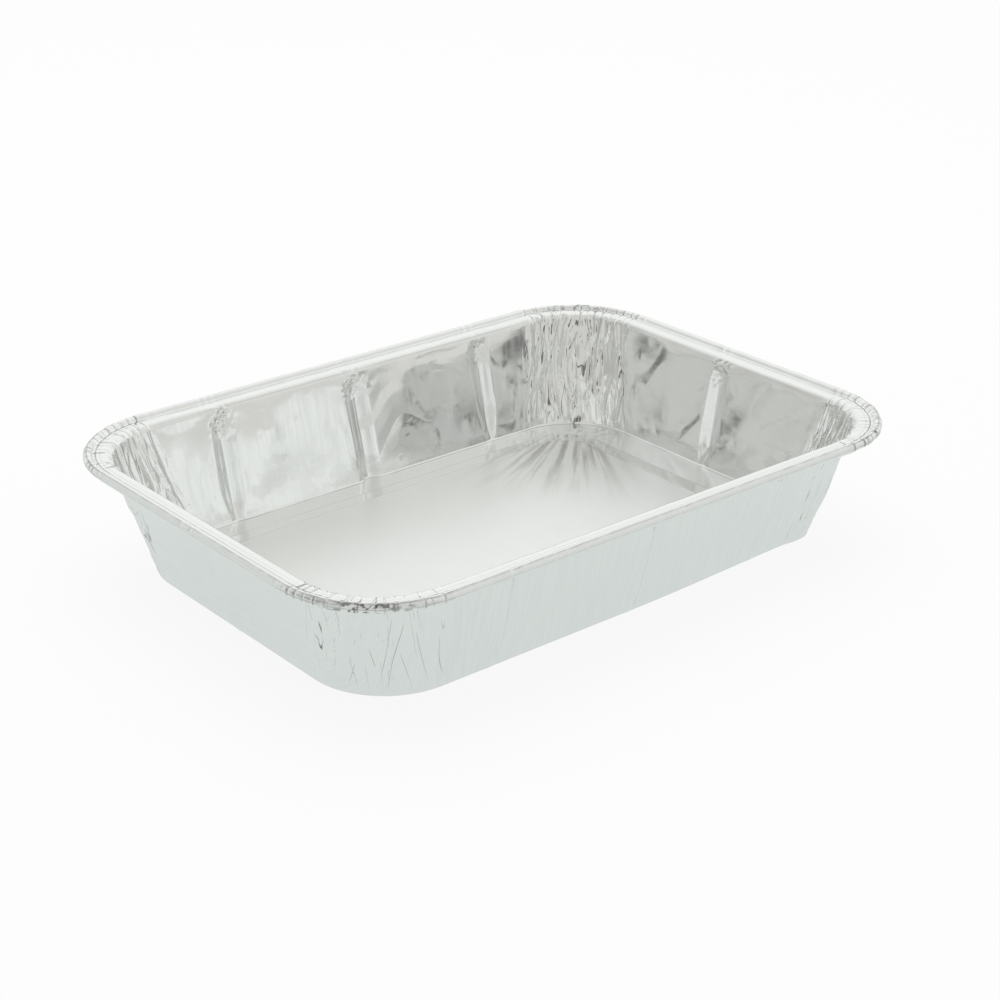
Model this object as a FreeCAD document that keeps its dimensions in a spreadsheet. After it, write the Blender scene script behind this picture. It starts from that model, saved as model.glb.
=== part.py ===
"""Rectangular aluminium foil tray, pressed from one blank, in millimetres.

The long walls run along X and the end walls along Y. The tray stands on Z = 0 with its base centred
on the origin. The foil's section is a row of stations from the foot bend up the wall, over the
shoulder and flange and round the rolled bead. Each station gives one level outline on each side of
the foil. Strips between neighbouring outlines close with the base into one solid.
"""
import FreeCAD, Part
import Sketcher
import math
import os

Vector = FreeCAD.Vector

# Driving sizes, in millimetres and degrees

SIZES = {
    "tray_length": 320.0,
    "tray_width": 234.0,
    "tray_height": 56.0,
    "foil_thickness": 0.2,
    "rim_corner_radius": 47.6,
    "foot_corner_radius": 36.5,
    "bead_diameter": 4.4,
    "bead_turn": 270.0,
    "neck_radius": 1.6,
    "neck_angle": 60.0,
    "wall_top_inset": 11.7,
    "shoulder_radius": 3.0,
    "foot_inset_end": 23.5,
    "foot_inset_side": 25.0,
    "foot_bend_radius": 2.5,
    "gutter_end": 18.0,
    "gutter_side": 12.0,
    "ramp_run": 10.0,
    "panel_rise": 1.5,
    "rib_width": 14.0,
    "rib_depth": 2.5,
    "rib_spacing": 76.5,
    "pleat_count": 11,
    "pleat_depth": 0.8,
    "wave_margin": 5.0,
    "foot_wave_share": 0.6,
}

# Steps in each bend of the section

BEND_STEPS = 2
NECK_STEPS = 2
BEAD_STEPS = 9

# Straight folds on each side of a rib's middle

RIB_FOLDS = 4

# Where the ribs stand along a long wall and along an end wall, in rib spacings

SIDE_RIBS = (-1, 0, 1)
END_RIBS = (0,)

# The two sides of the foil, as signs along the section's normal

UNDER = 1
UPPER = -1

# Outlines nearer in height than this are level, and edges within this angle run the same way

LEVEL = 1e-6
PARALLEL = 1e-6

doc = FreeCAD.newDocument("foil_tray")

sheet = doc.addObject("Spreadsheet::Sheet", "Sizes")
for row, (alias, value) in enumerate(SIZES.items(), start=1):
    sheet.set("A%d" % row, alias.replace("_", " "))
    sheet.set("B%d" % row, str(value))
    sheet.setAlias("B%d" % row, alias)
doc.recompute()


def size(alias):
    """The number that the sheet holds under this alias."""
    return float(getattr(sheet, alias))


class Station:
    """A point of the section: its distance out from the tray's edge (inside is negative), its height,
    its heading in radians, the share of the wall that it has come down, and the share of the ribs'
    and pleats' full depth that it has."""

    def __init__(self, out, height, heading, drop=0.0, wave=0.0):
        self.out = out
        self.height = height
        self.heading = heading
        self.drop = drop
        self.wave = wave


def under_side(heading):
    """The unit normal of the foil on its under side, as (out, up), for this heading."""
    return math.sin(heading), -math.cos(heading)


def bend(centre, radius, start, end, steps):
    """Points of a bend, each with its heading. A heading that climbs turns round a centre above the
    foil, and one that falls turns round a centre below it."""
    side = 1 if end > start else -1
    points = []
    for step in range(steps + 1):
        heading = start + (end - start) * step / steps
        normal = under_side(heading)
        points.append((centre[0] + side * radius * normal[0], centre[1] + side * radius * normal[1], heading))
    return points


def mean_foot_inset():
    """How far the foot lies inside the tray's edge, between the long walls' and the end walls'."""
    return (size("foot_inset_end") + size("foot_inset_side")) / 2


def bead_radius():
    """Radius of the bead to the middle of the foil."""
    return (size("bead_diameter") - size("foil_thickness")) / 2


def flange_height():
    """Height of the flange's middle line, below the bead's crown by what the neck climbs."""
    climb = (bead_radius() + size("neck_radius")) * (1 - math.cos(math.radians(size("neck_angle"))))
    return size("tray_height") - size("foil_thickness") / 2 - climb


def wall_stations():
    """The foot bend, the wall and the shoulder."""
    floor = size("foil_thickness") / 2
    rise = flange_height() - floor
    lean = mean_foot_inset() - size("wall_top_inset")
    angle = math.atan2(rise, lean)
    foot_radius = size("foot_bend_radius")
    shoulder_radius = size("shoulder_radius")
    foot_centre = (-mean_foot_inset() - foot_radius * math.tan(angle / 2), floor + foot_radius)
    shoulder_centre = (
        -size("wall_top_inset") + shoulder_radius * math.tan(angle / 2),
        flange_height() - shoulder_radius,
    )

    def drop(height):
        return (flange_height() - height) / rise

    foot = bend(foot_centre, foot_radius, 0.0, angle, BEND_STEPS)
    shoulder = bend(shoulder_centre, shoulder_radius, angle, 0.0, BEND_STEPS)
    stations = [Station(out, height, heading, drop(height), size("foot_wave_share")) for out, height, heading in foot]
    for height in (foot[-1][1] + size("wave_margin"), shoulder[0][1] - size("wave_margin")):
        out = -size("wall_top_inset") - drop(height) * lean
        stations.append(Station(out, height, angle, drop(height), 1.0))
    stations += [Station(out, height, heading, drop(height)) for out, height, heading in shoulder]
    return stations


def rim_stations():
    """The neck and the rolled bead, from the flange's edge to the tip of the roll."""
    neck_angle = math.radians(size("neck_angle"))
    bead_centre = (
        -size("bead_diameter") / 2,
        size("tray_height") - size("bead_diameter") / 2,
    )
    neck_centre = (
        bead_centre[0] - (bead_radius() + size("neck_radius")) * math.sin(neck_angle),
        flange_height() + size("neck_radius"),
    )
    roll_end = neck_angle - math.radians(size("bead_turn"))
    neck = bend(neck_centre, size("neck_radius"), 0.0, neck_angle, NECK_STEPS)
    roll = bend(bead_centre, bead_radius(), neck_angle, roll_end, BEAD_STEPS)
    return [Station(out, height, heading) for out, height, heading in neck + roll[1:]]


def rib_edges(middle, along, outward, depth, offset):
    """An outline's edges across one rib, a smooth wave out of the tray made in short straight folds."""
    half_width = size("rib_width") / 2
    points = []
    for fold in range(-RIB_FOLDS, RIB_FOLDS + 1):
        turn = math.pi * fold / RIB_FOLDS
        slope = -depth * math.pi / (2 * half_width) * math.sin(turn)
        normal = outward - along * slope
        normal.normalize()
        swell = depth * (1 + math.cos(turn)) / 2
        points.append(middle + along * (half_width * fold / RIB_FOLDS) + outward * swell + normal * offset)
    return [Part.LineSegment(*pair).toShape() for pair in zip(points, points[1:])]


def corner_edges(corner, radius, start_angle, depth, offset):
    """An outline's edges round one corner, folded sharply from crest to valley of its pleats, which at
    no depth are the facets of a plain round corner."""
    count = int(size("pleat_count"))
    pitch = math.pi / 4 / count
    mitre = math.hypot(1, depth / (radius * pitch))
    points = []
    for place in range(2 * count + 1):
        angle = start_angle + place * pitch
        share = 1 if place in (0, 2 * count) else mitre
        reach = radius - depth * (place % 2) + offset * share
        points.append(corner + Vector(math.cos(angle), math.sin(angle), 0) * reach)
    return [Part.LineSegment(*pair).toShape() for pair in zip(points, points[1:])]


def outline(station, side, pleated):
    """A level outline of the tray at this station, on one side of the foil. A pleated one has the ribs
    and the pleats, or their places where their depth is nothing, and a plain one has eight edges."""
    normal = under_side(station.heading)
    half_foil = side * size("foil_thickness") / 2
    offset = half_foil * normal[0]
    height = station.height + half_foil * normal[1]
    end_lean = (size("foot_inset_end") - mean_foot_inset()) * station.drop
    side_lean = (size("foot_inset_side") - mean_foot_inset()) * station.drop
    foot_growth = size("foot_corner_radius") - size("rim_corner_radius") + mean_foot_inset()
    half_length = size("tray_length") / 2 + station.out - end_lean
    half_width = size("tray_width") / 2 + station.out - side_lean
    radius = size("rim_corner_radius") + station.out + foot_growth * station.drop
    rib_depth = size("rib_depth") * station.wave
    pleat_depth = size("pleat_depth") * station.wave

    edges = []
    for turn in range(4):
        angle = turn * math.pi / 2
        outward = Vector(round(math.cos(angle)), round(math.sin(angle)), 0)
        along = Vector(-outward.y, outward.x, 0)
        is_end = turn % 2 == 0
        reach = half_length if is_end else half_width
        span = (half_width if is_end else half_length) - radius
        wall = outward * reach + Vector(0, 0, height)
        corner = wall + along * span - outward * radius
        at = wall - along * span + outward * offset
        if pleated:
            for place in END_RIBS if is_end else SIDE_RIBS:
                middle = wall + along * (place * size("rib_spacing"))
                rib = rib_edges(middle, along, outward, rib_depth, offset)
                edges.append(Part.LineSegment(at, rib[0].firstVertex().Point).toShape())
                edges += rib
                at = middle + along * (size("rib_width") / 2) + outward * offset
        edges.append(Part.LineSegment(at, wall + along * span + outward * offset).toShape())
        if pleated:
            edges += corner_edges(corner, radius, angle, pleat_depth, offset)
        else:
            circle = Part.Circle(corner, Vector(0, 0, 1), radius + offset)
            edges.append(Part.Arc(circle, angle, angle + math.pi / 2).toShape())
    return Part.Wire(edges)


def rounded_rectangle(name, length, width, radius, height):
    """A sketch of a rectangle with round corners, centred on Z, with its sizes as expressions."""
    sketch = doc.addObject("Sketcher::SketchObject", name)
    half_length = 100.0
    half_width = 70.0
    round_off = 20.0
    across = half_length - round_off
    deep = half_width - round_off
    runs = (
        (Vector(-across, -half_width, 0), Vector(across, -half_width, 0)),
        (Vector(half_length, -deep, 0), Vector(half_length, deep, 0)),
        (Vector(across, half_width, 0), Vector(-across, half_width, 0)),
        (Vector(-half_length, deep, 0), Vector(-half_length, -deep, 0)),
    )
    for start, end in runs:
        sketch.addGeometry(Part.LineSegment(start, end), False)
    centres = ((across, -deep), (across, deep), (-across, deep), (-across, -deep))
    for turn, centre in enumerate(centres):
        circle = Part.Circle(Vector(centre[0], centre[1], 0), Vector(0, 0, 1), round_off)
        start_angle = (turn - 1) * math.pi / 2
        sketch.addGeometry(Part.ArcOfCircle(circle, start_angle, start_angle + math.pi / 2), False)
    for turn in range(4):
        sketch.addConstraint(Sketcher.Constraint("Tangent", turn, 2, 4 + turn, 1))
        sketch.addConstraint(Sketcher.Constraint("Tangent", 4 + turn, 2, (turn + 1) % 4, 1))
    for turn in range(1, 4):
        sketch.addConstraint(Sketcher.Constraint("Equal", 4, 4 + turn))
    for turn, direction in enumerate(("Horizontal", "Vertical", "Horizontal", "Vertical")):
        sketch.addConstraint(Sketcher.Constraint(direction, turn))
    sketch.addConstraint(Sketcher.Constraint("Symmetric", 0, 1, 2, 1, -1, 1))
    driven = (
        ("Radius", (4, round_off), radius),
        ("DistanceX", (3, 1, 1, 1, 2 * half_length), length),
        ("DistanceY", (0, 1, 2, 1, 2 * half_width), width),
    )
    for kind, where, expression in driven:
        index = sketch.addConstraint(Sketcher.Constraint(kind, *where))
        sketch.setExpression("Constraints[%d]" % index, expression)
    sketch.setExpression(".Placement.Base.z", height)
    return sketch


def between(first, second):
    """The faces between two edges. Between straight ones they are flat: one face where the edges run
    the same way, and otherwise two triangles."""
    if not first.Curve.TypeId == second.Curve.TypeId == "Part::GeomLine":
        return [Part.makeRuledSurface(first, second)]
    low_start, low_end = [vertex.Point for vertex in first.Vertexes]
    high_start, high_end = [vertex.Point for vertex in second.Vertexes]
    if (low_end - low_start).isParallel(high_end - high_start, PARALLEL):
        loops = [(low_start, low_end, high_end, high_start)]
    else:
        loops = [(low_start, low_end, high_end), (low_start, high_end, high_start)]
    return [Part.Face(Part.makePolygon(loop + loop[:1])) for loop in loops]


def strip(first, second):
    """The faces between two neighbouring outlines: one flat ring where they lie level."""
    if abs(first.BoundBox.ZMin - second.BoundBox.ZMin) < LEVEL:
        outer, inner = sorted((first, second), key=lambda wire: -wire.BoundBox.XLength)
        return [Part.makeFace([outer, inner], "Part::FaceMakerBullseye")]
    faces = []
    for pair in zip(first.Edges, second.Edges):
        faces += between(*pair)
    return faces


def foil_side(side):
    """One side of the foil, with its last outline: the panel, ramp, gutter, wall, flange and bead."""
    lift = Vector(0, 0, 0 if side == UNDER else size("foil_thickness"))
    foot, head = [sketch.Shape.Wires[0].translated(lift) for sketch in (ramp_foot, ramp_head)]
    wall = [outline(station, side, pleated=True) for station in wall_stations()]
    rim = [outline(station, side, pleated=False) for station in rim_stations()]
    outlines = [head, foot] + wall + rim
    faces = [Part.Face(head)]
    for first, second in zip(outlines, outlines[1:]):
        faces += strip(first, second)
    return faces, rim[-1]


def pressed_foil():
    """The whole tray as one closed solid."""
    under, under_tip = foil_side(UNDER)
    upper, upper_tip = foil_side(UPPER)
    skin = Part.makeCompound(under + upper + strip(under_tip, upper_tip))
    skin.sewShape()
    solid = Part.Solid(skin.Shells[0])
    if solid.Volume < 0:
        solid.reverse()
    return solid


panel_length = "Sizes.tray_length - 2 * (Sizes.foot_inset_end + Sizes.gutter_end)"
panel_width = "Sizes.tray_width - 2 * (Sizes.foot_inset_side + Sizes.gutter_side)"
panel_radius = "Sizes.foot_corner_radius - (Sizes.gutter_end + Sizes.gutter_side) / 2"
ramp_foot = rounded_rectangle("ramp_foot", panel_length, panel_width, panel_radius, "0 * Sizes.panel_rise")
ramp_head = rounded_rectangle(
    "ramp_head",
    panel_length + " - 2 * Sizes.ramp_run",
    panel_width + " - 2 * Sizes.ramp_run",
    panel_radius + " - Sizes.ramp_run / 2",
    "Sizes.panel_rise",
)
doc.recompute()

tray = doc.addObject("Part::Feature", "tray")
tray.Label = "foil_tray"
tray.Shape = pressed_foil()
doc.recompute()

for item in doc.Objects:
    if "Invalid" in item.State or "Error" in item.State:
        raise RuntimeError("%s did not build: %s" % (item.Label, item.State))
if tray.Shape.isNull() or not tray.Shape.isValid() or len(tray.Shape.Solids) != 1:
    raise RuntimeError("the tray is not one valid solid")

os.makedirs("parts", exist_ok=True)
tray.Shape.Solids[0].exportStep("parts/%s.step" % tray.Label)
box = tray.Shape.BoundBox
print("foil_tray %.1f x %.1f x %.1f mm, z from %.3f, %.0f mm3, %d faces" % (
    box.XLength, box.YLength, box.ZLength, box.ZMin, tray.Shape.Volume, len(tray.Shape.Faces)))
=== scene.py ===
"""Looks of a rectangular aluminium foil tray, pressed from one sheet and rolled at its rim.

The foil is one grid of columns round the tray and rows across its section, from the middle of the
base to the tip of the rolled bead. Ribs, pleats, dents and crimps push the grid along the foil's
normal, and three closed pieces are cut from it: the base, the walls and the rim. Lengths are in
metres.
"""

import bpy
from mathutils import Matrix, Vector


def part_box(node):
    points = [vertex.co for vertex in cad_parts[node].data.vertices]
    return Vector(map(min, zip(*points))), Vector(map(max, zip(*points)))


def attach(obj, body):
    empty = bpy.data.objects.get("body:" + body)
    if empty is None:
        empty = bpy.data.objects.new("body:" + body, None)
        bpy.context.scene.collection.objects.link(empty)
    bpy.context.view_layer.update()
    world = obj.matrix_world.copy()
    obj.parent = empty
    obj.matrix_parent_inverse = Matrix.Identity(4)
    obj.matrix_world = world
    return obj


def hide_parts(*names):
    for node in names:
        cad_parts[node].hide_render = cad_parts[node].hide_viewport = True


bl_info = {
    "name": "Aluminium Foil Tray",
    "version": (1, 0, 0),
    "blender": (4, 5, 0),
    "location": "3D View > Sidebar > Foil Tray",
    "description": "Builds a pressed foil tray with ribs, pleated corners and a rolled rim",
    "category": "Object",
}

import math
from functools import partial

import bpy
import numpy as np
from bpy.props import FloatProperty, FloatVectorProperty, IntProperty, PointerProperty
from bpy.types import Operator, Panel, PropertyGroup
from mathutils import Matrix, Vector

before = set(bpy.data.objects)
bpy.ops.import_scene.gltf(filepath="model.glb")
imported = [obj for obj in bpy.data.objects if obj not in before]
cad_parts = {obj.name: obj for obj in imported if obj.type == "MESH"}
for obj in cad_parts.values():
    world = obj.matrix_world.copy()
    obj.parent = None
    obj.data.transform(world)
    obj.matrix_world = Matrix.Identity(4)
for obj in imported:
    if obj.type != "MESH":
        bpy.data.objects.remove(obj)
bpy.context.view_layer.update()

NODE = "foil_tray"
BODY = "root"
LOW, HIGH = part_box(NODE)
MM = 0.001

# Steps across each bend and face of the foil, from the foot to the tip of the bead, and round a corner.
FOOT_STEPS, WALL_STEPS, SHOULDER_STEPS = 5, 38, 6
FLANGE_STEPS, NECK_STEPS, BEAD_STEPS = 6, 4, 18
CORNER_STEPS = 131

# How far up the wall the ribs' arched heads begin.
RIB_HEAD = 0.84

# Each side of the tray, in order: the way it faces, the way it runs, and whether it is an end wall.
SIDES = (
    ((1, 0), (0, 1), True),
    ((0, 1), (-1, 0), False),
    ((-1, 0), (0, -1), True),
    ((0, -1), (1, 0), False),
)

# How much of each rib's depth reaches the foot, side by side and along each side.
FOOT_SHARES = ((0.10,), (0.15, 0.95, 0.30), (0.05,), (0.05, 0.08, 0.05))

# How crumpled the foil is at each rib's head, in the same order.
NESTS = ((0.6,), (0.5, 1.0, 1.35), (0.5,), (0.5, 0.4, 0.5))

# How strong the dark glints painted on the crumpled bead are at each corner, a painted reflection: back,
# left, front and right.
PAINTED_GLINTS = (0.6, 0.25, 0.95, 0.3)
BACK_CORNER = 0
FRONT_CORNER = 2
RIGHT_CORNER = 3

# Depths of what is folded and knocked into the foil.
NEST_DEPTH = 0.9 * MM
PANEL_SWELL = 0.26 * MM
DENT_DEPTH = 0.16 * MM
LOOP_DEPTH = 0.25 * MM
RIM_WAVE = 0.03 * MM
BASE_SWELL = 0.07 * MM
BASE_RIPPLE = 0.008 * MM
TUCK_DEPTH = 0.25 * MM
FOOT_KNOCK = 3.0 * MM
WALL_KNOCK = 2.6 * MM

# The kinds of property that the groups below share.
Length = partial(FloatProperty, unit="LENGTH")
Angle = partial(FloatProperty, subtype="ANGLE")
Share = partial(FloatProperty, subtype="FACTOR", min=0, max=1)
Colour = partial(FloatVectorProperty, subtype="COLOR", min=0, max=1)


class TraySizes(PropertyGroup):
    """Sizes of the pressed foil."""

    foil: Length(name="Foil", description="Thickness of the foil", default=0.2 * MM)
    rim_corner: Length(name="Rim corner", description="Corner radius at the rim", default=47.6 * MM)
    foot_corner: Length(name="Foot corner", description="Corner radius at the foot", default=36.5 * MM)
    bead: Length(name="Bead", description="Diameter of the rolled bead", default=4.4 * MM)
    bead_turn: Angle(name="Bead turn", description="How far the bead is rolled", default=math.radians(270))
    neck: Length(name="Neck", description="Bend radius under the bead", default=1.6 * MM)
    neck_angle: Angle(name="Neck angle", description="Steepest slope of the neck", default=math.radians(60))
    wall_top: Length(
        name="Wall top", description="How far the wall's top lies inside the rim", default=11.7 * MM
    )
    shoulder: Length(name="Shoulder", description="Bend radius between wall and flange", default=3.0 * MM)
    foot_end: Length(
        name="End foot", description="How far an end wall's foot lies inside the rim", default=23.5 * MM
    )
    foot_side: Length(
        name="Side foot", description="How far a long wall's foot lies inside the rim", default=25.0 * MM
    )
    foot_bend: Length(name="Foot bend", description="Bend radius at the foot", default=1.2 * MM)
    gutter_end: Length(
        name="End gutter", description="Width of the level gutter at an end wall", default=18.0 * MM
    )
    gutter_side: Length(
        name="Side gutter", description="Width of the level gutter at a long wall", default=12.0 * MM
    )
    ramp: Length(name="Ramp", description="Run of the ramp up to the panel", default=10.0 * MM)
    rise: Length(name="Rise", description="Rise of the base panel", default=1.5 * MM)
    rib_width: Length(name="Rib width", description="Width of a rib", default=14.0 * MM)
    rib_depth: Length(name="Rib depth", description="How far a rib stands out", default=2.5 * MM)
    rib_spacing: Length(name="Rib spacing", description="Distance between ribs", default=76.5 * MM)
    pleat_depth: Length(name="Pleat depth", description="Depth of the main pleats", default=0.9 * MM)
    seed: IntProperty(name="Seed", description="Seed of the pleats, dents and crimps", default=7)


class FoilFinish(PropertyGroup):
    """Colour and surface of the foil."""

    colour: Colour(name="Colour", description="Colour of the foil", default=(0.92, 0.925, 0.92))
    worn: Colour(
        name="Worn colour", description="Colour of its duller streaks", default=(0.87, 0.885, 0.88)
    )
    # Colour of the painted shade in creases, seams and folds, and of the painted dark glints.
    seam: Colour(name="Seam colour", description="Colour deep in a crease", default=(0.10, 0.10, 0.10))
    bright: Share(name="Bright roughness", description="Roughness of the brightest streaks", default=0.09)
    dull: Share(name="Dull roughness", description="Roughness of the dullest streaks", default=0.16)
    haze: Share(name="Haze", description="Roughness added on the base", default=0.20)
    grain: Share(name="Grain", description="Strength of the rolling grain", default=0.05)


class StageLook(PropertyGroup):
    """Floor, light and camera."""

    floor: Colour(name="Floor", description="Colour of the floor", default=(0.9, 0.9, 0.9))
    sky: FloatProperty(
        name="Sky", description="Strength of the light behind the tray",
        default=0.97, min=0, max=4,
    )
    dim: Share(name="Dim side", description="Share of it that comes from the front", default=0.69)
    dark: Share(name="Dark side", description="Share of it that comes from the left", default=0.72)
    softbox: FloatProperty(
        name="Softbox", description="Power of the lamp above",
        default=10.0, subtype="POWER", min=0, max=200,
    )
    lens: FloatProperty(name="Lens", description="Focal length of the camera in millimetres", default=74.13)


# Ways to shape a wave or a random field


def smooth(value, low, high):
    """Rises smoothly from 0 at low to 1 at high."""
    share = np.clip((value - low) / (high - low), 0, 1)
    return share * share * (3 - 2 * share)


def field(across, up, size, seed, stretch=1.0, waves=18):
    """A smooth random field with features about as large as size, stretched upwards."""
    draw = np.random.default_rng(seed)
    angle = draw.uniform(0, 2 * math.pi, waves)
    reach = 2 * math.pi / (size * draw.uniform(0.8, 2.6, waves))
    phase = draw.uniform(0, 2 * math.pi, waves)
    total = np.zeros(np.broadcast(across, up).shape)
    for turn, rate, start in zip(angle, reach, phase):
        total += np.sin(rate * (np.cos(turn) * across + np.sin(turn) * up / stretch) + start)
    return total / math.sqrt(waves / 2)


def lines(across, up, size, seed, stretch, width):
    """Narrow ridges, from 0 to 1, that wander and meet, with features about as large as size."""
    return np.clip(1 - np.abs(field(across, up, size, seed, stretch)) / width, 0, 1)


def hump(away, width):
    """A soft hump of height 1."""
    return np.exp(-((away / width) ** 2))


def creased(across, up, size, seed, stretch=1.0):
    """Soft facets that meet in sharp creases, as crumpled foil has."""
    first = np.abs(field(across, up, size, seed, stretch))
    second = np.abs(field(across, up, size * 0.7, seed + 1, stretch))
    return 0.6 - np.minimum(first, second + 0.25)


# The section of the foil


def between(first, second, share):
    """Values part of the way from the first ones to the second."""
    return [a + (b - a) * share for a, b in zip(first, second)]


def bend(centre, radius, start, end, steps):
    """Points round a bend, as distance out, height and heading. A heading that climbs turns round a
    centre above the foil, and one that falls turns round a centre below it."""
    side = 1 if end > start else -1
    heading = np.linspace(start, end, steps + 1)
    out = centre[0] + side * radius * np.sin(heading)
    height = centre[1] - side * radius * np.cos(heading)
    return list(zip(out, height, heading))


class Section:
    """Rows of the foil's middle surface, from the middle of the base to the tip of the bead."""

    def __init__(self, sizes):
        self.sizes = sizes
        self.rows = []
        self.half_length = (HIGH.x - LOW.x) / 2
        self.half_width = (HIGH.y - LOW.y) / 2
        self.top = HIGH.z
        self.floor = sizes.foil / 2
        self.mean_foot = (sizes.foot_end + sizes.foot_side) / 2
        self.bead_radius = (sizes.bead - sizes.foil) / 2
        climb = (self.bead_radius + sizes.neck) * (1 - math.cos(sizes.neck_angle))
        self.flange_height = self.top - sizes.foil / 2 - climb
        self.angle = math.atan2(self.flange_height - self.floor, self.mean_foot - sizes.wall_top)
        self.foot_start = -self.mean_foot - sizes.foot_bend * math.tan(self.angle / 2)
        self.flange_start = -sizes.wall_top + sizes.shoulder * math.tan(self.angle / 2)
        self.base_rows()
        self.foot_row = len(self.rows) - 1
        self.wall_rows()
        self.top_row = len(self.rows) - 1
        self.rim_rows()
        table = np.array(self.rows)
        self.scale, self.reach_x, self.reach_y, self.radius, self.height, self.heading = table.T
        run = np.hypot(np.diff(self.reach_x * self.scale), np.diff(self.height))
        self.unrolled = np.concatenate([[0], np.cumsum(run)])
        self.bead_top = self.bead_row + np.argmin(np.abs(self.heading[self.bead_row :] + 0.2))

    def add(self, reach_x, reach_y, radius, height, heading, scale=1.0):
        self.rows.append((scale, reach_x, reach_y, radius, height, heading))

    def outline(self, out, height):
        """Half sizes and corner radius of the level outline at this place of the wall or the flange."""
        sizes = self.sizes
        drop = (self.flange_height - height) / (self.flange_height - self.floor)
        growth = sizes.foot_corner - sizes.rim_corner + self.mean_foot
        return (
            self.half_length + out - (sizes.foot_end - self.mean_foot) * drop,
            self.half_width + out - (sizes.foot_side - self.mean_foot) * drop,
            sizes.rim_corner + out + growth * drop,
        )

    def base_rows(self):
        """The raised panel, the ramp round it and the level gutter."""
        sizes = self.sizes
        foot = self.outline(self.foot_start, self.floor)
        ramp_foot = (
            self.half_length - sizes.foot_end - sizes.gutter_end,
            self.half_width - sizes.foot_side - sizes.gutter_side,
            sizes.foot_corner - (sizes.gutter_end + sizes.gutter_side) / 2,
        )
        ramp_head = (ramp_foot[0] - sizes.ramp, ramp_foot[1] - sizes.ramp, ramp_foot[2] - sizes.ramp / 2)
        slope = -math.atan2(sizes.rise, sizes.ramp)
        for scale in (*np.linspace(0.04, 0.97, 20), 0.985, 0.994):
            self.add(*ramp_head, self.floor + sizes.rise, 0.0, scale)
        self.ramp_head_row = len(self.rows)
        for share in (0.0, 0.06, 0.2, 0.35, 0.5, 0.65, 0.8, 0.94, 1.0):
            drop = 0.9 * share + 0.1 * smooth(share, 0.0, 1.0)
            height = self.floor + sizes.rise * (1 - drop)
            self.add(*between(ramp_head, ramp_foot, share), height, slope)
        self.ramp_foot_row = len(self.rows) - 1
        for share in (0.04, 0.12, 0.28, 0.46, 0.64, 0.82, 0.96, 1.0):
            self.add(*between(ramp_foot, foot, share), self.floor, 0.0)

    def wall_rows(self):
        """The foot bend, the wall and the shoulder."""
        sizes = self.sizes
        angle = self.angle
        foot_centre = (self.foot_start, self.floor + sizes.foot_bend)
        shoulder_centre = (self.flange_start, self.flange_height - sizes.shoulder)
        foot = bend(foot_centre, sizes.foot_bend, 0.0, angle, FOOT_STEPS)
        shoulder = bend(shoulder_centre, sizes.shoulder, angle, 0.0, SHOULDER_STEPS)
        wall = [between(foot[-1], shoulder[0], step / WALL_STEPS) for step in range(1, WALL_STEPS)]
        for out, height, heading in foot[1:] + wall + shoulder:
            self.add(*self.outline(out, height), height, heading)

    def rim_rows(self):
        """The flange, the neck and the rolled bead."""
        sizes = self.sizes
        bead_centre = (-sizes.bead / 2, self.top - sizes.bead / 2)
        neck_centre = (
            bead_centre[0] - (self.bead_radius + sizes.neck) * math.sin(sizes.neck_angle),
            self.flange_height + sizes.neck,
        )
        for out in np.linspace(self.flange_start, neck_centre[0], FLANGE_STEPS + 1)[1:-1]:
            self.add(*self.outline(out, self.flange_height), self.flange_height, 0.0)
        self.neck_row = len(self.rows)
        self.bead_row = self.neck_row + NECK_STEPS + 1
        neck = bend(neck_centre, sizes.neck, 0.0, sizes.neck_angle, NECK_STEPS)
        tip = sizes.neck_angle - sizes.bead_turn
        roll = bend(bead_centre, self.bead_radius, sizes.neck_angle, tip, BEAD_STEPS)
        for out, height, heading in neck + roll[1:]:
            level = (self.half_length + out, self.half_width + out, sizes.rim_corner + out)
            self.add(*level, height, heading)


# The columns round the tray


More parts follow.
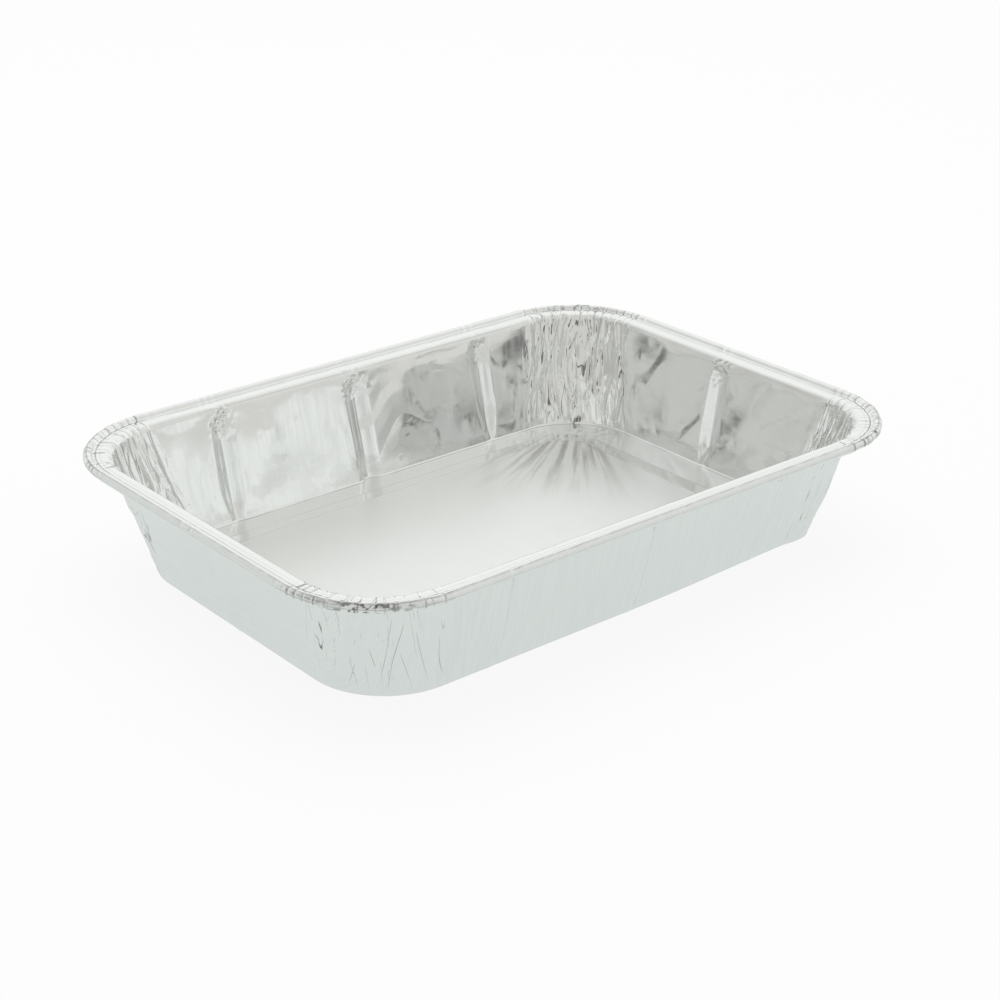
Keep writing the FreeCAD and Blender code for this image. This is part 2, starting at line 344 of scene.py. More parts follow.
class Columns:
    """Columns round the tray, four walls and four corners in turn."""

    def __init__(self, sizes, section):
        self.arc = sizes.rim_corner * math.pi / 2
        turns = np.linspace(0, math.pi / 2, CORNER_STEPS + 1)[1:-1]
        table = []
        for number, (_, _, is_end) in enumerate(SIDES):
            half = section.half_width if is_end else section.half_length
            span = half - sizes.rim_corner
            places = self.wall_places(span, self.ribs(sizes, is_end))
            table += [(number, place, 0.0, False) for place in places]
            table += [(number, span, turn, True) for turn in turns]
        self.side, self.along, self.angle, self.corner = (np.array(values) for values in zip(*table))
        facing, running, is_end = zip(*SIDES)
        self.is_end = np.array(is_end)[self.side]
        self.facing, self.running = (np.array(ways, float)[self.side] for ways in (facing, running))
        cosine, sine = np.cos(self.angle)[:, None], np.sin(self.angle)[:, None]
        self.outward = self.facing * cosine + self.running * sine
        half = np.where(self.is_end, section.half_width, section.half_length)
        self.span = half - sizes.rim_corner
        turned = self.angle * sizes.rim_corner
        from_start = self.along - self.span + turned - self.arc / 2
        to_last = self.along + self.span + self.arc / 2
        nearer_last = (~self.corner) & (self.along < 0)
        self.fold_place = np.where(nearer_last, to_last, from_start)
        self.fold_corner = np.where(nearer_last, (self.side - 1) % 4, self.side)
        run = self.along + self.span + turned
        before = np.array([2 * self.span[self.side == number][0] + self.arc for number in range(4)])
        self.round = run + (np.cumsum(before) - before)[self.side]
        self.girth = before.sum()

    def field(self, up, size, seed, stretch=1.0):
        """A random field round the whole tray, which closes where it began."""
        place = self.round[:, None]
        joined = smooth(place, 0, 25 * MM)
        first = field(place, up, size, seed, stretch)
        return joined * first + (1 - joined) * field(place + self.girth, up, size, seed, stretch)

    @staticmethod
    def ribs(sizes, is_end):
        """Places of the ribs along a wall."""
        return [0.0] if is_end else [-sizes.rib_spacing, 0.0, sizes.rib_spacing]

    @staticmethod
    def wall_places(span, ribs):
        """Places along a wall, closer together at the ribs and near the corners."""
        places = [-span]
        while places[-1] < span:
            here = places[-1]
            near_rib = min(abs(here - rib) for rib in ribs) < 9 * MM
            near_corner = span - abs(here) < 12 * MM
            places.append(here + (0.75 if near_rib else 1.1 if near_corner else 3.0) * MM)
        places = np.array(places)
        return places - (places - places[0]) / (places[-1] - places[0]) * (places[-1] - span)


def flat_grid(sizes, section, columns):
    """Places and normals of the foil before anything is folded into it, columns by rows."""
    keep = np.where(columns.is_end, sizes.rib_width / 2, sizes.rib_spacing + sizes.rib_width / 2)[:, None]
    reach = np.where(columns.is_end[:, None], section.reach_x[None], section.reach_y[None])
    other = np.where(columns.is_end[:, None], section.reach_y[None], section.reach_x[None])
    radius = section.radius[None]
    span = other - radius
    along = columns.along[:, None]
    stretch = (span - keep) / (columns.span[:, None] - keep)
    shifted = np.sign(along) * (keep + (np.abs(along) - keep) * stretch)
    wall_along = np.where(np.abs(along) <= keep, along, shifted)
    corner = columns.corner[:, None]
    out = np.where(corner, reach - radius + radius * np.cos(columns.angle)[:, None], reach)
    side = np.where(corner, span + radius * np.sin(columns.angle)[:, None], wall_along)
    flat = columns.facing[:, None, :] * out[..., None] + columns.running[:, None, :] * side[..., None]
    flat = flat * section.scale[None, :, None]
    single = flat.shape[:2] + (1,)
    lean = columns.outward[:, None, :] * np.sin(section.heading)[None, :, None]
    down = -np.cos(section.heading)[None, :, None]
    places = np.concatenate([flat, np.broadcast_to(section.height[None, :, None], single)], axis=2)
    normals = np.concatenate([lean, np.broadcast_to(down, single)], axis=2)
    return places, normals


# What is folded and knocked into the foil


def shares(section):
    """Each row's number, its way along the foil, and its place up the wall from 0 at the foot to 1."""
    number = np.arange(len(section.height))[None, :]
    climb = section.unrolled[None, :]
    foot = section.unrolled[section.foot_row]
    head = section.unrolled[section.top_row]
    share = np.clip((climb - foot) / (head - foot), 0, 1)
    return number, climb, share


def each_rib(sizes, columns):
    """Each rib's side, its number on that side, its place, and which columns are on its wall."""
    for side, (_, _, is_end) in enumerate(SIDES):
        on_side = (columns.side == side) & ~columns.corner
        for number, place in enumerate(Columns.ribs(sizes, is_end)):
            yield side, number, place, on_side


def rib_swell(sizes, section, columns):
    """How far the ribs stand out of the walls, each with an arched head and its own depth at the foot."""
    number, _, share = shares(section)
    wall_run = section.unrolled[section.top_row] - section.unrolled[section.foot_row]
    into_base = smooth(number, section.foot_row - 6, section.foot_row)
    below_shoulder = np.maximum(share - RIB_HEAD, 0) * wall_run
    swell = np.zeros((len(columns.along), len(section.height)))
    for side, index, rib, on_side in each_rib(sizes, columns):
        foot_share = FOOT_SHARES[side][index]
        away = np.abs(columns.along[:, None] - rib)
        narrow = 1 - 0.5 * (1 - foot_share) * (1 - smooth(share, 0.0, 0.35))
        reach = np.hypot(away, below_shoulder * 1.6) / (sizes.rib_width / 2 * narrow)
        wave = (1 + np.cos(math.pi * np.clip(reach, 0, 1))) / 2
        rise = foot_share + (1 - foot_share) * smooth(share, 0.0, 0.16)
        swell += on_side[:, None] * wave * sizes.rib_depth * rise * into_base
    return swell * (number <= section.top_row)


def knocked_corner(section, columns):
    """How far the right corner is pressed in, beside a sharp fold at its foot and halfway up its wall."""
    number, _, share = shares(section)
    place = columns.fold_place[:, None]
    foot = section.foot_row
    at_foot = smooth(number, foot - 5, foot) * (1 - smooth(share, 0.0, 0.8))
    beside = smooth(place, -145 * MM, -40 * MM) * np.clip((-18 * MM - place) / (17 * MM), 0, 1)
    up_wall = smooth(share, -0.1, 0.25) * (1 - smooth(share, 0.3, 0.95)) * (number >= foot)
    middle = hump(place - 2 * MM, 13 * MM)
    depth = FOOT_KNOCK * beside * at_foot + WALL_KNOCK * middle * up_wall
    return depth * (columns.fold_corner == RIGHT_CORNER)[:, None]


def pleated_share(columns):
    """How much each column belongs to a corner, from 0 on the flat walls to 1."""
    place = np.abs(columns.fold_place)[:, None]
    return 1 - smooth(place, columns.arc / 2 - 6 * MM, columns.arc / 2 + 7 * MM)


def relief(sizes, section, columns, places):
    """How far each place of the foil is pushed up or into the tray, columns by rows. Each random field
    adds a number of its own to the seed, so that no two are alike."""
    number, climb, share = shares(section)
    on_wall = (number > section.foot_row) & (number <= section.top_row)
    on_rim = number > section.top_row
    push = np.zeros(places.shape[:2])

    # The crumpled heads of the ribs
    nest_rise = smooth(share, 0.66, 0.78) * (1 - smooth(share, 0.93, 1.0)) * on_wall
    nest = creased(columns.round[:, None], climb, 4.2 * MM, sizes.seed + 40)
    for side, index, rib, on_side in each_rib(sizes, columns):
        wide = np.clip((columns.along[:, None] - rib) / (sizes.rib_width * 0.7), -1, 1)
        patch = (1 + np.cos(math.pi * wide)) / 2
        push += on_side[:, None] * patch * nest_rise * nest * NESTS[side][index] * NEST_DEPTH

    # The pleats and facets of the corners
    own = columns.fold_place[:, None] + columns.fold_corner[:, None] * 0.3
    in_corner = pleated_share(columns)
    warp = 1.2 * MM * field(own, climb, 30 * MM, sizes.seed + 1, stretch=1.2)
    long_folds = lines(own + warp, climb, 9 * MM, sizes.seed, 9.0, 0.42)
    short_folds = lines(own + warp, climb, 11 * MM, sizes.seed + 3, 3.5, 0.45)
    patches = smooth(field(own, climb, 20 * MM, sizes.seed + 4, stretch=1.5), -0.8, 0.5)
    facets = creased(own + warp, climb, 12 * MM, sizes.seed + 5, stretch=3.2)
    wall_fold = smooth(share, 0.0, 0.12) * (1 - smooth(share, 0.94, 1.0)) * on_wall
    fold = 0.55 * long_folds + 0.60 * short_folds * patches + 0.85 * facets
    push += in_corner * wall_fold * sizes.pleat_depth * fold

    # The flange, folded over itself
    flange_fold = smooth(share, 0.84, 1.0) * (on_wall | on_rim)
    push += flange_fold * (number <= section.neck_row + 1) * overlap(sizes, columns)[:, None]
    flange_wave = columns.field(climb, 14 * MM, sizes.seed + 8, 0.5)
    push += flange_fold * (number <= section.neck_row + 2) * RIM_WAVE * flange_wave

    # The soft bulges and dents of the wall panels
    panel = smooth(share, 0.02, 0.2) * (1 - smooth(share, 0.85, 0.98)) * on_wall
    from_rib = np.ones(columns.along.shape)
    for _, _, rib, on_side in each_rib(sizes, columns):
        away = smooth(np.abs(columns.along - rib), 6 * MM, 11 * MM)
        from_rib = np.minimum(from_rib, np.where(on_side, away, 1))
    bulge = columns.field(climb, 32 * MM, sizes.seed + 11, 1.1)
    push += panel * (1 - 0.6 * in_corner) * PANEL_SWELL * bulge
    dents = np.maximum(0, columns.field(climb, 11 * MM, sizes.seed + 12, 1.3) - 0.9)
    loops = np.clip(1 - np.abs(columns.field(climb, 30 * MM, sizes.seed + 13) - 0.3) / 0.12, 0, 1)
    knocked = smooth(columns.field(climb, 24 * MM, sizes.seed + 14), 0.0, 0.7)
    knocks = DENT_DEPTH * dents - LOOP_DEPTH * loops * knocked
    push += panel * (1 - in_corner) * from_rib[:, None] * knocks

    # The bead
    on_bead = number > section.neck_row + 1
    push -= on_bead * crimps(sizes, columns)[:, None]
    push += on_bead * RIM_WAVE * columns.field(climb, 7 * MM, sizes.seed + 15)

    # The base, with its creases, the tucks in its gutter and the rays at its corners
    base = number <= section.foot_row
    edge = 1 - smooth(number, section.foot_row - 3, section.foot_row)
    swell = field(places[..., 0], places[..., 1], 55 * MM, sizes.seed + 17)
    ripple = field(places[..., 0], places[..., 1], 18 * MM, sizes.seed + 18)
    push += base * edge * (BASE_SWELL * swell + BASE_RIPPLE * ripple)
    crease = (number == section.ramp_foot_row) * 0.05 + (number == section.ramp_head_row) * 0.03
    push -= crease * MM * (0.6 + 0.4 * np.tanh(columns.field(climb, 40 * MM, sizes.seed + 21)))
    gutter = smooth(number, section.foot_row - 10, section.foot_row - 5) * base * edge
    tucks = lines(own, climb, 9 * MM, sizes.seed + 19, 5.0, 0.5)
    push += gutter * in_corner * TUCK_DEPTH * tucks
    for way_x, way_y, depth in ((1, 1, 0.035), (-1, 1, 0.02), (-1, -1, 0.006), (1, -1, 0.012)):
        across = places[..., 0] - way_x * (section.half_length - sizes.foot_end)
        up = places[..., 1] - way_y * (section.half_width - sizes.foot_side)
        away = np.hypot(across, up)
        turn = np.arctan2(up * way_y, across * way_x)
        ray = field(turn * 50 * MM, 0.1 * away, 3.5 * MM, sizes.seed + 20)
        near = smooth(away, 15 * MM, 35 * MM) * (1 - smooth(away, 45 * MM, 95 * MM))
        push += base * edge * near * depth * MM * ray
    return push


def fold_places(sizes, columns):
    """Seeded places of the folds round each corner, from the corner's middle."""
    draw = np.random.default_rng(sizes.seed + 60)
    folds = []
    for corner in range(4):
        place = -columns.arc / 2 - 4 * MM
        places = []
        while place < columns.arc / 2 + 4 * MM:
            places.append(place)
            place += draw.uniform(3.0, 8.5) * MM
        folds.append(np.array(places))
    return folds


def between_folds(columns, corner, folds):
    """For each column, the fold before it, how far it is to the next one, and whether it is among them."""
    here = columns.fold_place
    index = np.clip(np.searchsorted(folds, here) - 1, 0, len(folds) - 2)
    along = np.clip((here - folds[index]) / (folds[index + 1] - folds[index]), 0, 1)
    inside = (here > folds[0]) & (here < folds[-1]) & (columns.fold_corner == corner)
    return index, along, inside


def overlap(sizes, columns):
    """How the flange is folded over itself round the corners: each fold rises and then drops sharply."""
    height = np.zeros(len(columns.along))
    draw = np.random.default_rng(sizes.seed + 61)
    for corner, folds in enumerate(fold_places(sizes, columns)):
        heights = draw.uniform(0.15, 0.45, len(folds)) * MM
        index, along, inside = between_folds(columns, corner, folds)
        height += inside * heights[index] * along ** 1.6
    return height


def crimps(sizes, columns):
    """How deep the bead is pressed in at each column. Round the corners it is a row of nearly straight
    lengths with a nip between them, and elsewhere it has a few soft nips."""
    draw = np.random.default_rng(sizes.seed + 62)
    depth = np.zeros(len(columns.along))
    for corner, folds in enumerate(fold_places(sizes, columns)):
        index, along, inside = between_folds(columns, corner, folds)
        length = np.diff(folds)[index]
        shift = draw.uniform(-0.10, 0.14, len(folds)) * MM
        lean = draw.uniform(-0.12, 0.12, len(folds)) * MM
        chord = along * (1 - along) * length ** 2 / (2 * sizes.rim_corner)
        depth += inside * (chord * columns.corner + shift[index] + lean[index] * (along - 0.5) * 2)
        for place in folds:
            width = draw.uniform(0.35, 0.7) * MM
            strength = draw.uniform(0.25, 0.6) * MM
            near = hump(columns.fold_place - place, width) * (columns.fold_corner == corner)
            depth += near * strength
    for _, _, rib, on_side in each_rib(sizes, columns):
        for _ in range(3):
            place = rib + draw.normal(0, 7) * MM
            width = draw.uniform(0.6, 1.2) * MM
            near = hump(columns.along - place, width) * on_side
            depth += near * draw.uniform(0.08, 0.25) * MM
    return depth


def painted_dark_marks(sizes, section, columns):
    """How far the foil's colour is darkened, from 0 to 1: painted shade where the foil is doubled or nipped
    so sharply that little light comes back, painted shade lines along the rim and the base, a painted shade
    knot at the back corner's foot, and painted dark glints on the crumpled bead.
    """
    number, climb, share = shares(section)
    draw = np.random.default_rng(sizes.seed + 63)
    # Painted shade: a thin dark line at each fold joint round the corners, on the flange and the bead.
    joint_shade = np.zeros(len(columns.along))
    for corner, folds in enumerate(fold_places(sizes, columns)):
        for place in folds:
            away = np.abs(columns.fold_place - place) + 10 * (columns.fold_corner != corner)
            strength = draw.uniform(0.35, 1.0)
            joint_shade = np.maximum(joint_shade, strength * (away < 0.32 * MM))
    in_corner = pleated_share(columns)
    broken = smooth(columns.field(climb, 5 * MM, sizes.seed + 64), -0.9, 0.3)
    wide_broken = smooth(columns.field(climb, 30 * MM, sizes.seed + 65), -1.0, 0.6)
    on_bead = number > section.neck_row + 2
    flange = smooth(share, 0.93, 1.0) * ~on_bead
    seam = joint_shade[:, None] * (0.85 * flange * broken + 0.75 * on_bead)

    # Painted reflection: dark glints on the crumpled bead round each corner, on the rows that face the
    # camera, and painted shade in a knot at the back corner's foot.
    crumpled = smooth(columns.field(climb, 2.6 * MM, sizes.seed + 66, 0.8), 0.25, 0.6)
    strength = np.array(PAINTED_GLINTS)[columns.fold_corner] * hump(columns.fold_place - 2 * MM, 17 * MM)
    outer = (columns.fold_corner == FRONT_CORNER)[:, None]
    past_top = number - section.bead_top
    seen = np.where(outer, abs(past_top - 4.5) < 4, abs(past_top + 2) < 4.5)
    painted_glints = crumpled * strength[:, None] * seen
    painted_knot_shade = hump(columns.fold_place - 1 * MM, 4 * MM) * (columns.fold_corner == BACK_CORNER)
    at_foot = abs(number - section.foot_row - 3) <= 4
    painted_glints = np.maximum(painted_glints, 0.75 * painted_knot_shade[:, None] * at_foot * crumpled)

    # Painted shade: dark lines along rows of the rim, the foot, the ramp and the shoulder.
    def painted_shade_lines(*rows):
        """Painted shade lines along these rows, each with its strength and what a corner adds to it."""
        return sum((number == row) * (strength + more * in_corner) for row, strength, more in rows)

    rim_shade_lines = painted_shade_lines(
        (section.top_row + 3, 0.12, 0.0),
        (section.neck_row, 0.36, 0.45),
        (section.bead_top, 0.42, 0.25),
        (section.bead_top + 1, 0.25, 0.0),
        (section.bead_top + 5, 0.22, 0.25),
    )
    base_shade_lines = painted_shade_lines(
        (section.ramp_head_row, 0.10, 0.0),
        (section.ramp_foot_row, 0.22, 0.0),
        (section.foot_row, 0.42, 0.0),
        (section.foot_row + 1, 0.42, 0.0),
        (section.top_row - 4, 0.16, -0.16),
    )
    along = rim_shade_lines * (0.7 + 0.3 * broken) + base_shade_lines * (0.4 + 0.6 * wide_broken)
    return np.clip(np.maximum(np.maximum(seam, painted_glints), along), 0, 1)


def slopes(places):
    """Unit normals of the grid on its under side, from the lie of its neighbours."""
    around = np.roll(places, -1, axis=0) - np.roll(places, 1, axis=0)
    across = np.gradient(places, axis=1)
    normals = np.cross(around, across)
    return normals / np.linalg.norm(normals, axis=2, keepdims=True)


def blank_map(section, columns, places):
    """Where each place lay on the flat sheet that the tray is pressed from."""
    head = int(np.argmax(section.scale >= 1.0))
    beyond = np.maximum(section.unrolled - section.unrolled[head], 0)
    on_base = (np.arange(len(beyond)) < head)[None, :, None]
    past_head = places[:, head : head + 1, :2] + columns.outward[:, None, :] * beyond[None, :, None]
    return np.where(on_base, places[..., :2], past_head)


def foil_grid(sizes):
    """The whole foil: both skins, their normals and the map of the flat sheet."""
    section = Section(sizes)
    columns = Columns(sizes, section)
    places, flat_normals = flat_grid(sizes, section, columns)
    middle = places - flat_normals * relief(sizes, section, columns, places)[..., None]
    swell = rib_swell(sizes, section, columns) - knocked_corner(section, columns)
    middle[..., :2] += columns.outward[:, None, :] * swell[..., None]
    normals = slopes(middle)
    half = sizes.foil / 2
    number, _, share = shares(section)
    flat = 1 - pleated_share(columns)
    across, up = places[..., 0] - section.half_length, places[..., 1] - section.half_width
    shiny = 1 - 0.6 * hump(np.hypot(across, up), 75 * MM)
    inner = 1 - 0.75 * smooth(number, section.ramp_head_row - 1, section.ramp_head_row + 1)
    return {
        "foot": section.foot_row,
        "top": section.top_row,
        "tip": len(section.height) - 1,
        "girth": columns.girth,
        "upper": middle - normals * half,
        "under": middle + normals * half,
        "normals": normals,
        "blank": blank_map(section, columns, places),
        "wrap": np.stack(np.broadcast_arrays(columns.round[:, None], section.unrolled[None]), axis=2),
        "seam": painted_dark_marks(sizes, section, columns),
        "pleated": pleated_share(columns) * smooth(share, 0.0, 0.35),
        "panel": flat * smooth(share, 0.03, 0.15) * (1 - smooth(share, 0.86, 0.95)),
        "haze": shiny * inner * (number <= section.foot_row - 2),
    }


def closed_piece(name, grid, first, last, with_middle):
    """A closed mesh of the foil between two rows of the grid, with its marks and both its maps."""
    columns = grid["upper"].shape[0]
    rows = last - first + 1
    below = columns * rows
    count = 2 * below + (2 if with_middle else 0)

    def both_skins(upper, under, middle):
        """Values of every vertex: the upper skin, the under skin and the two middle points."""
        width = upper.shape[2] if upper.ndim == 3 else 1
        values = np.zeros((count, width))
        values[:below] = upper[:, first : last + 1].reshape(-1, width)
        values[below : 2 * below] = under[:, first : last + 1].reshape(-1, width)
        if with_middle:
            values[2 * below :] = middle
        return values

    hub = [grid[skin][:, 0].mean(axis=0) for skin in ("upper", "under")]
    vertices = both_skins(grid["upper"], grid["under"], hub)
    normals = both_skins(-grid["normals"], grid["normals"], [(0, 0, 1), (0, 0, -1)])

    column = np.arange(columns)[:, None] * rows
    following = np.roll(column, -1, axis=0)
    row = np.arange(rows - 1)[None]
    corners = [column + row, following + row, following + row + 1, column + row + 1]
    corners = np.stack(corners, axis=2).reshape(-1, 4)
    faces = [corners[:, ::-1], corners + below]
    start, end = column[:, 0], following[:, 0]
    outer, outer_end = start + rows - 1, end + rows - 1
    faces.append(np.stack([outer + below, outer_end + below, outer_end, outer], axis=1))
    if not with_middle:
        faces.append(np.stack([start, end, end + below, start + below], axis=1))
    faces = np.concatenate(faces).tolist()
    if with_middle:
        point = np.full(columns, 2 * below)
        faces += np.stack([start, end, point], axis=1).tolist()
        faces += np.stack([end + below, start + below, point + 1], axis=1).tolist()
    mesh = bpy.data.meshes.new(name)
    mesh.from_pydata(vertices.tolist(), [], faces)
    mesh.update()

    loops = np.empty(len(mesh.loops), int)
    mesh.loops.foreach_get("vertex_index", loops)
    blank = both_skins(grid["blank"], grid["blank"], 0)[loops]
    wrap = both_skins(grid["wrap"], grid["wrap"], 0)[loops]
    loop_column = (loops % below) // rows
    face_of = np.repeat(np.arange(len(mesh.polygons)), [len(face) for face in faces])
    last_strip = np.bincount(face_of, loop_column == columns - 1)[face_of] > 0
    wrap[last_strip & (loop_column == 0), 0] += grid["girth"]
    for layer_name, values in (("blank", blank), ("wrap", wrap)):
        layer = mesh.uv_layers.new(name=layer_name)
        layer.data.foreach_set("uv", values.astype(np.float32).ravel())
    for mark in ("seam", "pleated", "haze", "panel"):
        values = both_skins(grid[mark], grid[mark], grid[mark][0, 0])
        attribute = mesh.attributes.new(mark, "FLOAT", "POINT")
        attribute.data.foreach_set("value", values.astype(np.float32).ravel())
    mesh.normals_split_custom_set_from_vertices(normals.tolist())
    piece = bpy.data.objects.new(name, mesh)
    bpy.context.scene.collection.objects.link(piece)
    piece.data.materials.append(foil_material())
    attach(piece, BODY)
    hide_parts(NODE)
    return piece


# Materials


class Wiring:
    """Makes and joins the nodes of a material or a world."""

    def __init__(self, tree):
        self.tree = tree

    def put(self, socket, value):
        """Sets a socket to a number or a colour, or links it to another node's output."""
        if isinstance(value, bpy.types.NodeSocket):
            self.tree.links.new(value, socket)
        else:
            socket.default_value = value

    def node(self, kind, *values, **settings):
        """A new shader node with these settings, and with these values in its first sockets."""
        made = self.tree.nodes.new("ShaderNode" + kind)
        for key, value in settings.items():
            if hasattr(made, key):
                setattr(made, key, value)
            else:
                self.put(made.inputs[key.replace("_", " ").title()], value)
        for socket, value in zip(made.inputs, values):
            self.put(socket, value)
        return made

    def noise(self, vector, scale, detail, roughness=0.5):
        made = self.node("TexNoise", vector, noise_dimensions="2D", scale=scale, detail=detail)
        self.put(made.inputs["Roughness"], roughness)
        return made.outputs["Fac"]

    def creases(self, vector, slant, scale, present):
        """Nearly straight creases at a slant: thin dark lines of painted shade, and the valleys that they
        lie in.
        """
        turned = self.node("Mapping", vector, vector_type="TEXTURE")
        self.put(turned.inputs["Rotation"], (0.0, 0.0, slant))
        self.put(turned.inputs["Scale"], (1.0, 11.0, 1.0))
        waves = self.noise(turned.outputs["Vector"], scale, 0.0)
        away = self.math("ABSOLUTE", self.math("SUBTRACT", waves, 0.5))
        line = self.times(self.ramp(away, 0.001, 0.008, 1.0, 0.0), present)
        return line, self.times(self.ramp(away, 0.0, 0.06), present)

    def stretched(self, vector, scale):
        made = self.node("Mapping", vector)
        self.put(made.inputs["Scale"], scale)
        return made.outputs["Vector"]

    def math(self, operation, first, second=0.0):
        return self.node("Math", first, second, operation=operation).outputs[0]

    def times(self, first, second):
        return self.math("MULTIPLY", first, second)

    def ramp(self, value, low, high, at_low=0.0, at_high=1.0):
        """A smooth change from one value to another while the input goes from low to high."""
        ends = (low, high, at_low, at_high)
        return self.node("MapRange", value, *ends, interpolation_type="SMOOTHSTEP").outputs["Result"]

    def painted_reflection_rays(self, vector, middle, near, far):
        """Where painted reflection streaks fan out over the base from a place, strongest between two
        distances from it.
        """
        shift = self.node("VectorMath", middle, vector, operation="SUBTRACT").outputs["Vector"]
        parts = self.node("SeparateXYZ", shift).outputs
        away = self.node("VectorMath", shift, operation="LENGTH").outputs["Value"]
        angle = self.math("ARCTAN2", parts["Y"], parts["X"])
        fan = self.node("CombineXYZ", angle, self.times(away, 0.9)).outputs["Vector"]
        streak = self.ramp(self.noise(fan, 15.0, 3.0, 0.6), 0.40, 0.70)
        begins = self.ramp(away, near, near * 1.2)
        reach = self.times(begins, self.ramp(away, far * 0.4, far, 1.0, 0.0))
        opens = self.ramp(angle, 0.15, 0.45)
        spread = self.times(opens, self.ramp(angle, 0.9, 1.35, 1.0, 0.0))
        return self.times(streak, self.times(reach, spread))

    def mark(self, name):
        return self.node("Attribute", attribute_name=name).outputs["Fac"]

    def blend(self, share, first, second):
        made = self.node("Mix", share, data_type="RGBA")
        sockets = [socket for socket in made.inputs if socket.type == "RGBA"]
        self.put(sockets[0], first)
        self.put(sockets[1], second)
        return [socket for socket in made.outputs if socket.type == "RGBA"][0]

    def bump(self, height, distance, under=None, strength=1.0):
        made = self.node("Bump", strength=strength, distance=distance)
        self.put(made.inputs["Height"], height)
        if under is not None:
            self.put(made.inputs["Normal"], under)
        return made.outputs["Normal"]

    def mixed(self, share, first, second):
        """A shader that goes from the first one to the second as the share rises."""
        return self.node("MixShader", share, first, second).outputs["Shader"]


def new_material(name):
    """A new material, the wiring of its nodes and its shader."""
    material = bpy.data.materials.new(name)
    material.use_nodes = True
    return material, Wiring(material.node_tree), material.node_tree.nodes["Principled BSDF"]


# The slant, the scale and the size of the patches of each layer of creases.
CREASES = ((0.24, 75.0, 75.0), (-0.20, 90.0, 62.0), (0.02, 110.0, 88.0))

# The colour of the painted reflection streaks that fan out from the back corner, and where they begin and
# end.
PAINTED_REFLECTION_COLOUR = (0.42, 0.41, 0.385, 1)
RAY_REACH = (36 * MM, 125 * MM)

# How high the bumps of the foil and of the floor are.
GRAIN_HEIGHT = 0.04 * MM
RIPPLE_HEIGHT = 0.025 * MM
CREASE_HEIGHT = 0.1 * MM
FACET_HEIGHT = 2.8 * MM
MOTTLE_HEIGHT = 0.2 * MM


def foil_material():
    """Rolled aluminium foil: a bright metal with rolling grain, dull streaks and creases, with painted
    shade in its creases and seams, painted dark glints on the bead and painted reflection streaks on the
    base.
    """
    if "rolled_foil" in bpy.data.materials:
        return bpy.data.materials["rolled_foil"]
    finish = bpy.context.scene.foil_finish
    material, wire, shader = new_material("rolled_foil")
    wire.put(shader.inputs["Metallic"], 1.0)
    blank = wire.node("UVMap", uv_map="blank").outputs["UV"]
    wrap = wire.node("UVMap", uv_map="wrap").outputs["UV"]
    streaks = wire.noise(wire.stretched(blank, (1.0, 0.03, 1.0)), 1100.0, 4.0, 0.6)
    clouds = wire.noise(blank, 28.0, 3.0, 0.55)

    pleated = wire.mark("pleated")
    # Painted shade: thin dark crease lines in the corners, joined with the mark of painted shade and
    # painted dark glints, darken the base colour.
    painted_crease_shade, valleys = [], []
    for slant, scale, patch in CREASES:
        patches = wire.noise(wire.stretched(wrap, (1.0, 0.6, 1.0)), patch, 1.0)
        present = wire.ramp(patches, 0.50, 0.62)
        line, valley = wire.creases(wrap, slant, scale, wire.times(present, pleated))
        painted_crease_shade.append(line)
        valleys.append(valley)
    dark = wire.math("MAXIMUM", wire.math("MAXIMUM", painted_crease_shade[0], painted_crease_shade[1]), painted_crease_shade[2])
    dark = wire.math("MAXIMUM", wire.times(dark, 0.8), wire.mark("seam"))

    haze = wire.mark("haze")
    satin = wire.ramp(haze, 0.0, 0.5, 1.0, 0.25)
    brushed = wire.times(wire.ramp(streaks, 0.35, 0.65), satin)
    worn = wire.times(wire.math("ADD", clouds, brushed), 0.5)
    sheet = wire.blend(worn, (*finish.colour, 1), (*finish.worn, 1))
    sizes = bpy.context.scene.tray_sizes
    corner = ((HIGH.x - LOW.x) / 2 - sizes.foot_end, (HIGH.y - LOW.y) / 2 - sizes.foot_side, 0)
    # Painted reflection: dark streaks that fan out over the base from the back corner.
    painted_reflection_rays = wire.times(wire.painted_reflection_rays(blank, corner, *RAY_REACH), wire.ramp(haze, 0.1, 0.3, 0.0, 0.75))
    sheet = wire.blend(painted_reflection_rays, sheet, PAINTED_REFLECTION_COLOUR)
    # The painted shade and painted glints blend the base colour towards their dark colour.
    wire.put(shader.inputs["Base Color"], wire.blend(dark, sheet, (*finish.seam, 1)))

    gloss = wire.ramp(streaks, 0.3, 0.7, finish.bright, finish.dull)
    gloss = wire.math("SUBTRACT", gloss, wire.times(pleated, 0.06))
    wire.put(shader.inputs["Roughness"], wire.math("ADD", gloss, wire.times(haze, finish.haze)))

    grain = wire.bump(wire.times(wire.times(streaks, satin), finish.grain), GRAIN_HEIGHT)
    ripple = wire.bump(wire.noise(blank, 240.0, 2.0), RIPPLE_HEIGHT, grain)
    valley = wire.math("ADD", wire.math("ADD", valleys[0], valleys[1]), valleys[2])
    folds = wire.bump(valley, CREASE_HEIGHT, ripple)
    waves = wire.noise(wire.stretched(wrap, (1.0, 0.8, 1.0)), 24.0, 1.0)
    present = wire.ramp(wire.noise(wrap, 31.0, 0.0), 0.46, 0.62)
    away = wire.math("MINIMUM", wire.math("ABSOLUTE", wire.math("SUBTRACT", waves, 0.47)), 0.09)
    facet = wire.times(away, wire.times(present, wire.mark("panel")))
    wire.put(shader.inputs["Normal"], wire.bump(facet, FACET_HEIGHT, folds))
    return material


